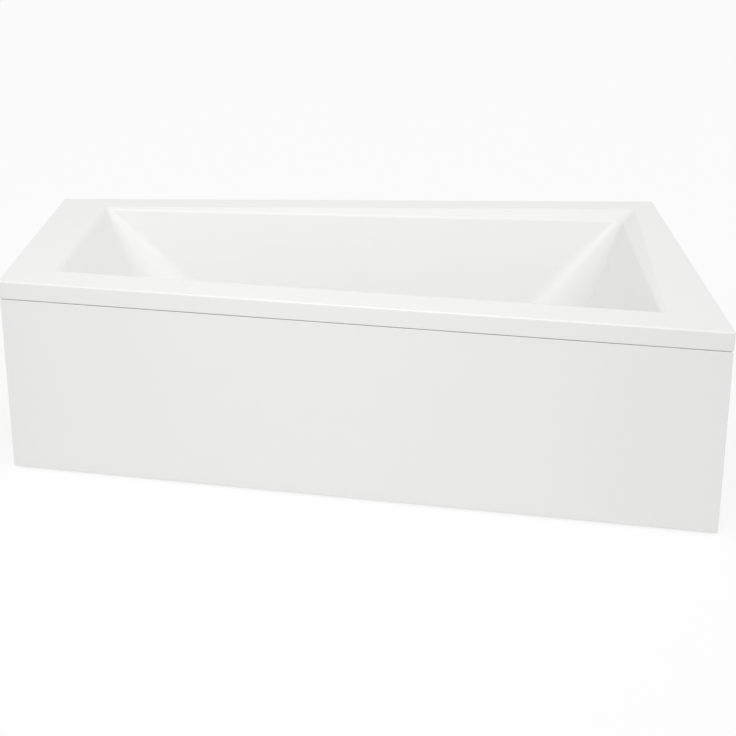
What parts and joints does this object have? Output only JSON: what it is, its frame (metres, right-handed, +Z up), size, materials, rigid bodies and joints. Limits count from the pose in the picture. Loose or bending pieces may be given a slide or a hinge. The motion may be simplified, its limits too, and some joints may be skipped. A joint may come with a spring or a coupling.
{
  "type": "corner bathtub",
  "caption": "White corner bathtub with a slanted straight front: a deep rectangular basin in a wide flat rim, with a pull-off front panel, adjustable feet and a pop-up drain.",
  "frame": {"origin": "on the floor, under the middle of the bathtub's box", "axes": "+X along the back wall towards the wide end, +Y towards the back wall, +Z up"},
  "size_m": [1.7, 0.9984, 0.5],
  "materials": {
    "acrylic_white": "high gloss",
    "glassfibre": "rough sprayed",
    "chipboard": "raw",
    "batten_wood": "raw",
    "galvanised_steel": "galvanised",
    "fastener_steel": "zinc plated",
    "foot_plastic": "matt",
    "clip_plastic": "satin",
    "magnet_grey": "satin",
    "chrome": "polished",
    "seal_rubber": "matt",
    "waste_plastic": "satin",
    "hose_plastic": "satin",
    "cable_sheath": "satin"
  },
  "bodies": {
    "tub": {"arm_bolts": "fastener_steel", "base_board": "chipboard", "bath_shell": "acrylic_white", "clip_screws": "fastener_steel", "drain_body": "waste_plastic", "drain_flange": "chrome", "drain_seal_bottom": "seal_rubber", "drain_seal_top": "seal_rubber", "foot_nuts": "fastener_steel", "glassfibre_backing": "glassfibre", "hose_clamps": "galvanised_steel", "leg_rail_left": "galvanised_steel", "leg_rail_right": "galvanised_steel", "lever_pin": "fastener_steel", "outlet_pipe": "waste_plastic", "overflow_body": "waste_plastic", "overflow_faceplate": "chrome", "overflow_hose": "hose_plastic", "overflow_seal": "seal_rubber", "panel_arm_left": "galvanised_steel", "panel_arm_right": "galvanised_steel", "panel_clips": "clip_plastic", "panel_magnets": "magnet_grey", "pull_cable": "cable_sheath", "rail_screws": "fastener_steel", "rim_batten_back": "batten_wood", "rim_batten_front": "batten_wood", "rim_batten_left": "batten_wood", "rim_batten_right": "batten_wood", "trap_body": "waste_plastic", "trap_cap": "waste_plastic", "trap_inlet_nut": "waste_plastic", "trap_outlet_nut": "waste_plastic", "wall_bracket_back_left": "galvanised_steel", "wall_bracket_back_right": "galvanised_steel", "wall_bracket_screws": "fastener_steel", "wall_bracket_side": "galvanised_steel"},
    "panel": {"front_panel": "acrylic_white", "panel_stiffener": "chipboard", "panel_strike_plates": "galvanised_steel"},
    "knob": {"overflow_knob": "chrome", "knob_spindle": "chrome"},
    "plug": {"plug_cap": "chrome", "plug_seal": "seal_rubber"},
    "lever": {"lift_lever": "waste_plastic"},
    "foot_front_left": {"foot_stud_front_left": "fastener_steel", "foot_pad_front_left": "foot_plastic"},
    "foot_back_left": {"foot_stud_back_left": "fastener_steel", "foot_pad_back_left": "foot_plastic"},
    "foot_front_right": {"foot_stud_front_right": "fastener_steel", "foot_pad_front_right": "foot_plastic"},
    "foot_back_right": {"foot_stud_back_right": "fastener_steel", "foot_pad_back_right": "foot_plastic"}
  },
  "joints": [
    {"name": "panel_pull", "type": "slide", "parent": "tub", "child": "panel", "axis": [-0.1738, -0.9848, 0], "range_m": [0, 0.3]},
    {"name": "knob_turn", "type": "hinge", "parent": "tub", "child": "knob", "pos_m": [-0.02534, -0.23143, 0.422], "axis": [0.1721, 0.9752, 0.1392], "range_deg": [0, 90]},
    {"name": "plug_lift", "type": "slide", "parent": "tub", "child": "plug", "axis": [0, 0, 1], "range_m": [0, 0.00996]},
    {"name": "lever_swing", "type": "hinge", "parent": "tub", "child": "lever", "pos_m": [0.00045, -0.08528, 0.04603], "axis": [0.9848, -0.1738, 0], "range_deg": [0, 30.4]},
    {"name": "foot_adjust_front_left", "type": "slide", "parent": "tub", "child": "foot_front_left", "axis": [0, 0, 1], "range_m": [-0.03, 0.005]},
    {"name": "foot_adjust_back_left", "type": "slide", "parent": "tub", "child": "foot_back_left", "axis": [0, 0, 1], "range_m": [-0.03, 0.005]},
    {"name": "foot_adjust_front_right", "type": "slide", "parent": "tub", "child": "foot_front_right", "axis": [0, 0, 1], "range_m": [-0.03, 0.005]},
    {"name": "foot_adjust_back_right", "type": "slide", "parent": "tub", "child": "foot_back_right", "axis": [0, 0, 1], "range_m": [-0.03, 0.005]}
  ],
  "couplings": [
    {"joint": "plug_lift", "follows": "knob_turn", "m_per_rad": 0.0063428},
    {"joint": "lever_swing", "follows": "knob_turn", "ratio": 0.33778}
  ]
}
